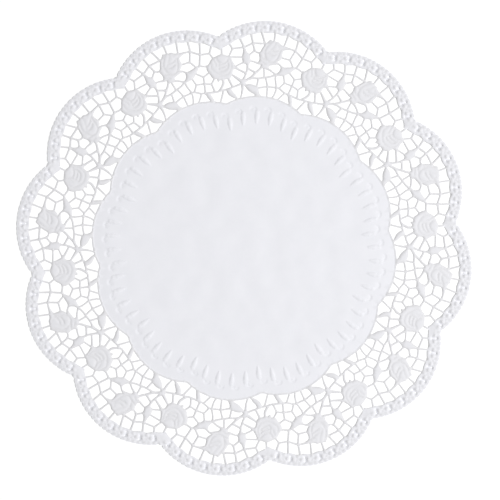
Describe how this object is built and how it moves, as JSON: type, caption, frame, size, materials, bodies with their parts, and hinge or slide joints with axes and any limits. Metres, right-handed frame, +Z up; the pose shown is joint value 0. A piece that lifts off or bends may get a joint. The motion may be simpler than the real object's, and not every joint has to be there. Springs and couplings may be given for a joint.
{
  "type": "round lace doily of die-cut embossed paper",
  "caption": "Round flat doily of die-cut, embossed white paper lace: scalloped flower border, net of bars with roses, buds and leaves, plain centre to stand a plate or cake on.",
  "frame": {"origin": "centre of the flat underside, on the surface the doily lies on", "axes": "+Z up through the sheet, +X and +Y each toward the peak of a scallop"},
  "size_m": [0.36, 0.36, 0.0019],
  "materials": {
    "paper": "matt white uncoated paper, embossed"
  },
  "bodies": {
    "root": {"paper_lace": "paper"}
  },
  "joints": []
}
